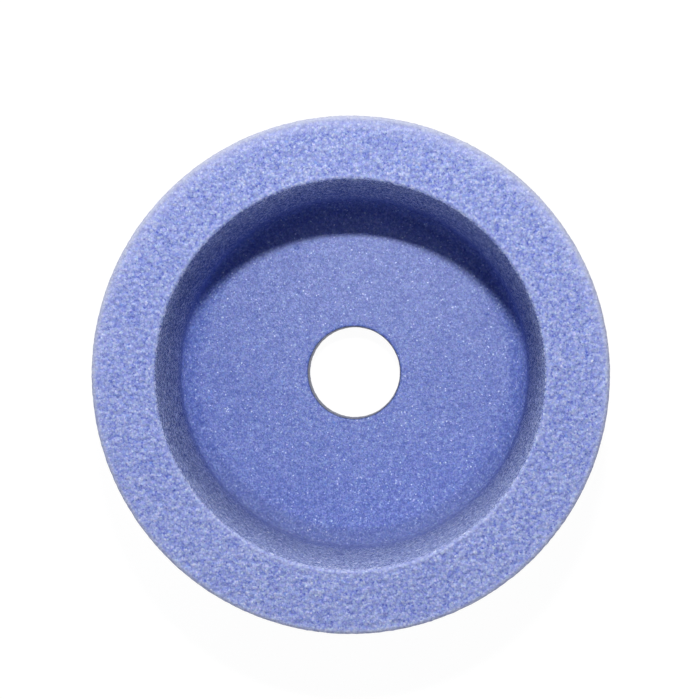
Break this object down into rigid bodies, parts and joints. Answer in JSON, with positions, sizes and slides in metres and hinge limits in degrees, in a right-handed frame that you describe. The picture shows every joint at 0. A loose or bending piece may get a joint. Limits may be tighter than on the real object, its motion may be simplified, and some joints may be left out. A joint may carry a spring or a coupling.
{
  "type": "cup grinding wheel",
  "caption": "Straight cup grinding wheel: a deep round cup of porous blue abrasive, with a wide flat grinding rim and a central spindle bore in its back.",
  "frame": {"origin": "centre of the flat back face, where the bore's axis meets it", "axes": "+Z along the wheel's axis, from the back face towards the grinding rim, so that the cup opens upwards"},
  "size_m": [0.1, 0.1, 0.05],
  "materials": {
    "blue_abrasive": "matt, porous and gritty: lavender-blue abrasive grain in a glassy bond"
  },
  "bodies": {
    "root": {"cup_wheel": "blue_abrasive"}
  },
  "joints": []
}
